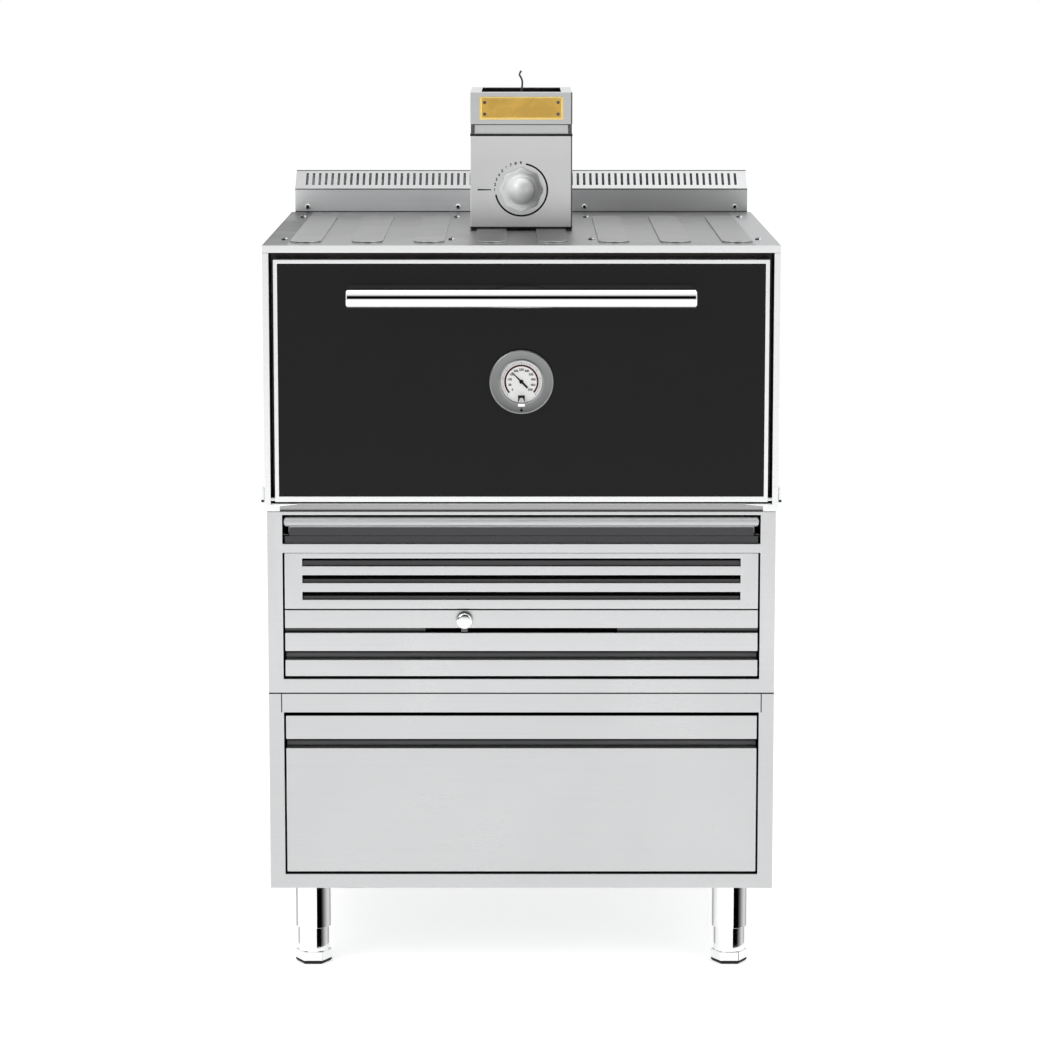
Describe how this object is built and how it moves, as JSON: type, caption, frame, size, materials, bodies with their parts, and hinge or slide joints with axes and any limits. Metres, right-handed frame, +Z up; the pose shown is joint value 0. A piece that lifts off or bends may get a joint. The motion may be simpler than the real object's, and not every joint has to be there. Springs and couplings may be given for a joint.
{
  "type": "charcoal grill oven",
  "caption": "Free-standing charcoal grill oven with a drop-down door, a flue with a damper, a drip tray, an ash drawer and a storage drawer, on adjustable feet.",
  "frame": {"origin": "on the floor under the middle of the oven's bounding box", "axes": "+X to the right seen from the front, +Y from the front to the back, +Z up"},
  "size_m": [0.81, 0.887, 1.409],
  "materials": {
    "steel": "brushed",
    "dull_steel": "satin",
    "dark_steel": "heat darkened",
    "polished_steel": "polished",
    "cast_iron": "as cast",
    "black_panel": "gloss enamel",
    "brass": "satin",
    "white_dial": "matt",
    "black_needle": "matt",
    "clear_glass": "clear",
    "ceramic_wool": "fibrous"
  },
  "bodies": {
    "oven_body": {"leg_front_left": "polished_steel", "leg_front_right": "polished_steel", "leg_back_left": "polished_steel", "leg_back_right": "polished_steel", "lower_cabinet": "steel", "upper_cabinet": "steel", "drawer_runner_outer_left": "dull_steel", "drawer_runner_outer_right": "dull_steel", "side_guide_left": "dull_steel", "side_guide_right": "dull_steel", "vent_panel": "steel", "regulator_rail": "steel", "oven_casing": "steel", "top_plate": "steel", "rear_upstand": "dull_steel", "rear_duct": "dull_steel", "front_collar": "steel", "door_gasket": "ceramic_wool", "oven_liner": "dark_steel", "grill_ledges": "dark_steel", "insulation_blanket": "ceramic_wool", "ash_chute": "dark_steel", "charcoal_grate": "cast_iron", "ember_guard": "cast_iron", "hinge_bracket_left": "dull_steel", "hinge_bracket_right": "dull_steel", "flue_duct": "dark_steel", "damper_housing": "steel"},
    "door": {"door_frame": "steel", "door_panel": "black_panel", "door_insulation": "ceramic_wool", "door_inner_panel": "dull_steel", "door_handle": "polished_steel", "handle_post_left": "polished_steel", "handle_post_centre": "polished_steel", "handle_post_right": "polished_steel", "thermometer_bezel": "steel", "thermometer_dial": "white_dial", "thermometer_lens": "clear_glass", "thermometer_probe": "dull_steel"},
    "gauge_needle": {"thermometer_needle": "black_needle"},
    "damper": {"damper_knob": "polished_steel", "damper_valve": "dark_steel"},
    "firebreak": {"firebreak_box": "steel", "badge_plate": "brass"},
    "arrestor": {"spark_arrestor": "dark_steel"},
    "tray": {"drip_tray": "steel"},
    "ash_drawer": {"ash_drawer_front": "steel", "ash_drawer_box": "dull_steel"},
    "storage_drawer": {"storage_drawer_front": "steel", "storage_drawer_box": "dull_steel"},
    "runner_middle_left": {"drawer_runner_middle_left": "dull_steel"},
    "runner_middle_right": {"drawer_runner_middle_right": "dull_steel"},
    "air_regulator": {"regulator_carriage": "dark_steel", "regulator_knob": "polished_steel"},
    "grill": {"food_grill": "cast_iron"},
    "foot_fl": {"foot_front_left": "polished_steel"},
    "foot_fr": {"foot_front_right": "polished_steel"},
    "foot_bl": {"foot_back_left": "polished_steel"},
    "foot_br": {"foot_back_right": "polished_steel"}
  },
  "joints": [
    {"name": "door_hinge", "type": "hinge", "parent": "oven_body", "child": "door", "pos_m": [0, -0.3735, 0.7585], "axis": [1, 0, 0], "range_deg": [0, 90]},
    {"name": "needle_pivot", "type": "hinge", "parent": "door", "child": "gauge_needle", "pos_m": [0, -0.3845, 0.9435], "axis": [0, 1, 0], "range_deg": [-105, 195], "stiffness_Nm_per_rad": 0.002},
    {"name": "damper_turn", "type": "hinge", "parent": "oven_body", "child": "damper", "pos_m": [0, -0.0585, 1.22], "axis": [0, 1, 0], "range_deg": [0, 90]},
    {"name": "firebreak_lift", "type": "slide", "parent": "oven_body", "child": "firebreak", "axis": [0, 0, 1], "range_m": [0, 0.1]},
    {"name": "arrestor_lift", "type": "slide", "parent": "firebreak", "child": "arrestor", "axis": [0, 0, 1], "range_m": [0, 0.1]},
    {"name": "tray_slide", "type": "slide", "parent": "oven_body", "child": "tray", "axis": [0, -1, 0], "range_m": [0, 0.2]},
    {"name": "ash_drawer_slide", "type": "slide", "parent": "oven_body", "child": "ash_drawer", "axis": [0, -1, 0], "range_m": [0, 0.35]},
    {"name": "storage_drawer_slide", "type": "slide", "parent": "oven_body", "child": "storage_drawer", "axis": [0, -1, 0], "range_m": [0, 0.5]},
    {"name": "runner_left_slide", "type": "slide", "parent": "oven_body", "child": "runner_middle_left", "axis": [0, -1, 0], "range_m": [0, 0.25]},
    {"name": "runner_right_slide", "type": "slide", "parent": "oven_body", "child": "runner_middle_right", "axis": [0, -1, 0], "range_m": [0, 0.25]},
    {"name": "regulator_slide", "type": "slide", "parent": "oven_body", "child": "air_regulator", "axis": [1, 0, 0], "range_m": [-0.055, 0.233]},
    {"name": "grill_slide", "type": "slide", "parent": "oven_body", "child": "grill", "axis": [0, -1, 0], "range_m": [0, 0.03]},
    {"name": "foot_fl_adjust", "type": "slide", "parent": "oven_body", "child": "foot_fl", "axis": [0, 0, -1], "range_m": [0, 0.03]},
    {"name": "foot_fr_adjust", "type": "slide", "parent": "oven_body", "child": "foot_fr", "axis": [0, 0, -1], "range_m": [0, 0.03]},
    {"name": "foot_bl_adjust", "type": "slide", "parent": "oven_body", "child": "foot_bl", "axis": [0, 0, -1], "range_m": [0, 0.03]},
    {"name": "foot_br_adjust", "type": "slide", "parent": "oven_body", "child": "foot_br", "axis": [0, 0, -1], "range_m": [0, 0.03]}
  ],
  "couplings": [
    {"joint": "runner_left_slide", "follows": "storage_drawer_slide", "ratio": 0.5},
    {"joint": "runner_right_slide", "follows": "storage_drawer_slide", "ratio": 0.5}
  ]
}
